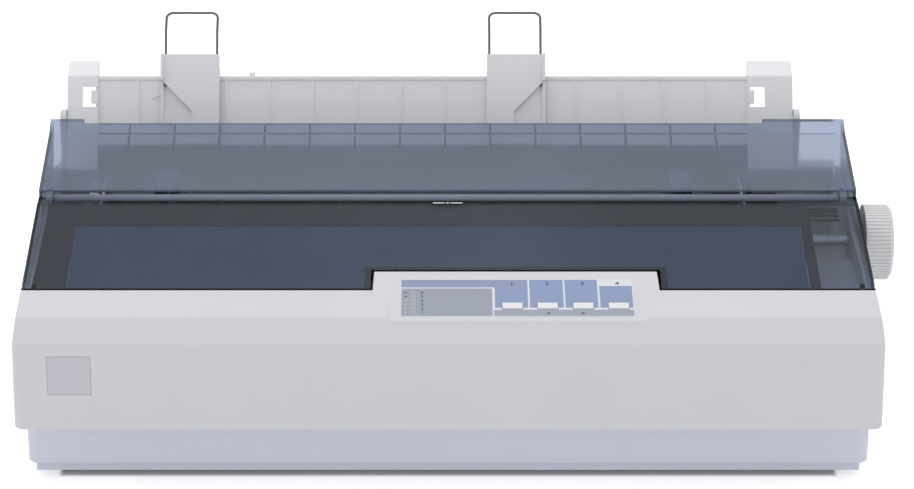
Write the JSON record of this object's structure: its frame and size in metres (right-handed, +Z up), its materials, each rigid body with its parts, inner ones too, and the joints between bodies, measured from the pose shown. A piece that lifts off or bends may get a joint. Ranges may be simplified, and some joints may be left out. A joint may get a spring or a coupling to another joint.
{
  "type": "dot matrix printer",
  "caption": "Wide dot matrix printer with hinged smoke covers, tilting paper guide with sliding edge guides, hand knob and full printing mechanism.",
  "frame": {"origin": "middle of the printer's footprint, at table height", "axes": "+X to the right as seen from the front, +Y backwards, +Z up"},
  "size_m": [0.6125, 0.3436, 0.2287],
  "materials": {
    "casing": "fine grain",
    "rubber": "matte",
    "steel": "zinc plated",
    "bright_steel": "ground",
    "panel_print": "printed film",
    "green_board": "lacquered",
    "lamp": "clear",
    "button_white": "smooth",
    "smoke_front": "tinted, glossy",
    "smoke_rear": "tinted, glossy",
    "guide_grey": "fine grain",
    "white_gear": "moulded",
    "dark_plastic": "moulded",
    "blue_plastic": "moulded",
    "sprocket_white": "moulded",
    "motor_metal": "satin",
    "cast_head": "die cast",
    "ink_black": "inked nylon"
  },
  "bodies": {
    "base": {"lower_case": "casing", "rubber_feet": "rubber", "upper_case": "casing", "screws": "steel", "panel_label": "panel_print", "panel_board": "green_board", "indicator_lamps": "lamp", "left_side_frame": "steel", "right_side_frame": "steel", "cross_beams": "steel", "platen_bushes": "white_gear", "paper_pan": "steel", "feed_motor": "motor_metal", "carriage_motor": "motor_metal", "tractor_guide_shaft": "bright_steel", "carriage_shaft": "bright_steel", "timing_belt": "rubber", "ribbon_cartridge": "dark_plastic", "ink_ribbon": "ink_black", "main_board": "green_board", "power_supply": "motor_metal", "mains_inlet": "dark_plastic", "data_connector": "dark_plastic"},
    "cover": {"printer_cover": "smoke_front"},
    "flap": {"exit_flap": "smoke_rear"},
    "guide": {"paper_guide": "guide_grey"},
    "left_edge": {"left_edge_guide": "guide_grey"},
    "right_edge": {"right_edge_guide": "guide_grey"},
    "left_wire": {"left_wire_support": "steel"},
    "right_wire": {"right_wire_support": "steel"},
    "platen": {"platen_shaft": "bright_steel", "platen_roller": "rubber", "platen_gear": "white_gear", "platen_knob": "guide_grey"},
    "reduction": {"reduction_gear": "white_gear"},
    "pinion": {"motor_pinion": "white_gear"},
    "idler": {"idler_gear": "white_gear"},
    "tractor_drive": {"tractor_drive_shaft": "bright_steel"},
    "pressure": {"pressure_rollers": "rubber"},
    "tractor_l": {"left_tractor": "dark_plastic"},
    "tractor_r": {"right_tractor": "dark_plastic"},
    "lid_l": {"left_tractor_lid": "dark_plastic"},
    "lid_r": {"right_tractor_lid": "dark_plastic"},
    "lock_l": {"left_lock_lever": "blue_plastic"},
    "lock_r": {"right_lock_lever": "blue_plastic"},
    "sprocket_l": {"left_sprocket": "sprocket_white"},
    "sprocket_r": {"right_sprocket": "sprocket_white"},
    "carriage": {"carriage_frame": "dark_plastic", "print_head": "cast_head", "ribbon_mask": "steel"},
    "drive_pulley": {"drive_pulley": "white_gear"},
    "idler_pulley": {"idler_pulley": "white_gear"},
    "ribbon_knob": {"ribbon_knob": "blue_plastic"},
    "gap_lever": {"gap_lever": "steel"},
    "release_lever": {"release_lever": "steel"},
    "button_1": {"panel_button_1": "button_white"},
    "button_2": {"panel_button_2": "button_white"},
    "button_3": {"panel_button_3": "button_white"},
    "button_4": {"panel_button_4": "button_white"},
    "rocker": {"power_rocker": "dark_plastic"}
  },
  "joints": [
    {"name": "cover_hinge", "type": "hinge", "parent": "base", "child": "cover", "pos_m": [-0.00985, -0.11883, 0.1257], "axis": [1, 0, 0], "range_deg": [0, 60]},
    {"name": "exit_flap_hinge", "type": "hinge", "parent": "cover", "child": "flap", "pos_m": [-0.00985, -0.01473, 0.1536], "axis": [1, 0, 0], "range_deg": [0, 95]},
    {"name": "paper_guide_hinge", "type": "hinge", "parent": "base", "child": "guide", "pos_m": [-0.00985, 0.12968, 0.1582], "axis": [1, 0, 0], "range_deg": [-50, 0]},
    {"name": "left_edge_guide_slide", "type": "slide", "parent": "guide", "child": "left_edge", "axis": [1, 0, 0], "range_m": [-0.038, 0.018]},
    {"name": "right_edge_guide_slide", "type": "slide", "parent": "guide", "child": "right_edge", "axis": [1, 0, 0], "range_m": [-0.1, 0.145]},
    {"name": "left_wire_slide", "type": "slide", "parent": "left_edge", "child": "left_wire", "axis": [0, 0.4695, 0.8829], "range_m": [-0.015, 0]},
    {"name": "right_wire_slide", "type": "slide", "parent": "right_edge", "child": "right_wire", "axis": [0, 0.4695, 0.8829], "range_m": [-0.015, 0]},
    {"name": "platen_spin", "type": "hinge", "parent": "base", "child": "platen", "pos_m": [-0.00985, -0.02032, 0.1219], "axis": [1, 0, 0], "continuous": true},
    {"name": "reduction_spin", "type": "hinge", "parent": "base", "child": "reduction", "pos_m": [-0.00985, -0.00532, 0.09592], "axis": [1, 0, 0], "continuous": true},
    {"name": "pinion_spin", "type": "hinge", "parent": "base", "child": "pinion", "pos_m": [-0.00985, 0.01782, 0.06834], "axis": [1, 0, 0], "continuous": true},
    {"name": "idler_spin", "type": "hinge", "parent": "base", "child": "idler", "pos_m": [-0.00985, 0.01868, 0.1219], "axis": [1, 0, 0], "continuous": true},
    {"name": "tractor_shaft_spin", "type": "hinge", "parent": "base", "child": "tractor_drive", "pos_m": [-0.00985, 0.05167, 0.1219], "axis": [1, 0, 0], "continuous": true},
    {"name": "pressure_spin", "type": "hinge", "parent": "base", "child": "pressure", "pos_m": [-0.00985, -0.02739, 0.09553], "axis": [1, 0, 0], "continuous": true},
    {"name": "left_tractor_slide", "type": "slide", "parent": "base", "child": "tractor_l", "axis": [1, 0, 0], "range_m": [-0.025, 0.06]},
    {"name": "right_tractor_slide", "type": "slide", "parent": "base", "child": "tractor_r", "axis": [1, 0, 0], "range_m": [-0.06, 0.025]},
    {"name": "left_tractor_lid_hinge", "type": "hinge", "parent": "tractor_l", "child": "lid_l", "pos_m": [-0.22405, -0.17033, 0.1329], "axis": [0, -1, 0], "range_deg": [0, 90]},
    {"name": "right_tractor_lid_hinge", "type": "hinge", "parent": "tractor_r", "child": "lid_r", "pos_m": [0.16935, -0.17033, 0.1329], "axis": [0, 1, 0], "range_deg": [0, 90]},
    {"name": "left_tractor_lock_hinge", "type": "hinge", "parent": "tractor_l", "child": "lock_l", "pos_m": [-0.00985, 0.01367, 0.1269], "axis": [1, 0, 0], "range_deg": [0, 60]},
    {"name": "right_tractor_lock_hinge", "type": "hinge", "parent": "tractor_r", "child": "lock_r", "pos_m": [-0.00985, 0.01367, 0.1269], "axis": [1, 0, 0], "range_deg": [0, 60]},
    {"name": "left_sprocket_spin", "type": "hinge", "parent": "tractor_l", "child": "sprocket_l", "pos_m": [-0.00985, 0.05167, 0.1219], "axis": [1, 0, 0], "continuous": true},
    {"name": "right_sprocket_spin", "type": "hinge", "parent": "tractor_r", "child": "sprocket_r", "pos_m": [-0.00985, 0.05167, 0.1219], "axis": [1, 0, 0], "continuous": true},
    {"name": "carriage_slide", "type": "slide", "parent": "base", "child": "carriage", "axis": [1, 0, 0], "range_m": [-0.172, 0.172]},
    {"name": "drive_pulley_spin", "type": "hinge", "parent": "base", "child": "drive_pulley", "pos_m": [-0.22485, -0.08332, 0.0072], "axis": [0, 0, 1], "continuous": true},
    {"name": "idler_pulley_spin", "type": "hinge", "parent": "base", "child": "idler_pulley", "pos_m": [0.18015, -0.08332, 0.0072], "axis": [0, 0, 1], "continuous": true},
    {"name": "ribbon_knob_spin", "type": "hinge", "parent": "base", "child": "ribbon_knob", "pos_m": [-0.24385, -0.08983, 0.0072], "axis": [0, 0, 1], "continuous": true},
    {"name": "gap_lever_hinge", "type": "hinge", "parent": "base", "child": "gap_lever", "pos_m": [-0.00985, -0.06632, 0.0912], "axis": [1, 0, 0], "range_deg": [-12, 12]},
    {"name": "release_lever_hinge", "type": "hinge", "parent": "base", "child": "release_lever", "pos_m": [-0.00985, 0.01968, 0.0992], "axis": [1, 0, 0], "range_deg": [0, 25]},
    {"name": "button_1_press", "type": "slide", "parent": "base", "child": "button_1", "axis": [0, -0.2067, 0.9784], "range_m": [-0.0008, 0], "stiffness_N_per_m": 600, "springref_m": 0.0005},
    {"name": "button_2_press", "type": "slide", "parent": "base", "child": "button_2", "axis": [0, -0.2067, 0.9784], "range_m": [-0.0008, 0], "stiffness_N_per_m": 600, "springref_m": 0.0005},
    {"name": "button_3_press", "type": "slide", "parent": "base", "child": "button_3", "axis": [0, -0.2067, 0.9784], "range_m": [-0.0008, 0], "stiffness_N_per_m": 600, "springref_m": 0.0005},
    {"name": "button_4_press", "type": "slide", "parent": "base", "child": "button_4", "axis": [0, -0.2067, 0.9784], "range_m": [-0.0008, 0], "stiffness_N_per_m": 600, "springref_m": 0.0005},
    {"name": "power_rocker_hinge", "type": "hinge", "parent": "base", "child": "rocker", "pos_m": [-0.00985, 0.13167, 0.0822], "axis": [1, 0, 0], "range_deg": [0, 16]}
  ],
  "couplings": [
    {"joint": "reduction_spin", "follows": "platen_spin", "ratio": -2.3333},
    {"joint": "pinion_spin", "follows": "platen_spin", "ratio": 7},
    {"joint": "idler_spin", "follows": "platen_spin", "ratio": -1.1667},
    {"joint": "tractor_shaft_spin", "follows": "platen_spin", "ratio": 1.4},
    {"joint": "left_sprocket_spin", "follows": "platen_spin", "ratio": 1.4},
    {"joint": "right_sprocket_spin", "follows": "platen_spin", "ratio": 1.4},
    {"joint": "pressure_spin", "follows": "platen_spin", "ratio": -2.8571},
    {"joint": "drive_pulley_spin", "follows": "carriage_slide", "rad_per_m": -129.87},
    {"joint": "idler_pulley_spin", "follows": "carriage_slide", "rad_per_m": -129.87}
  ]
}
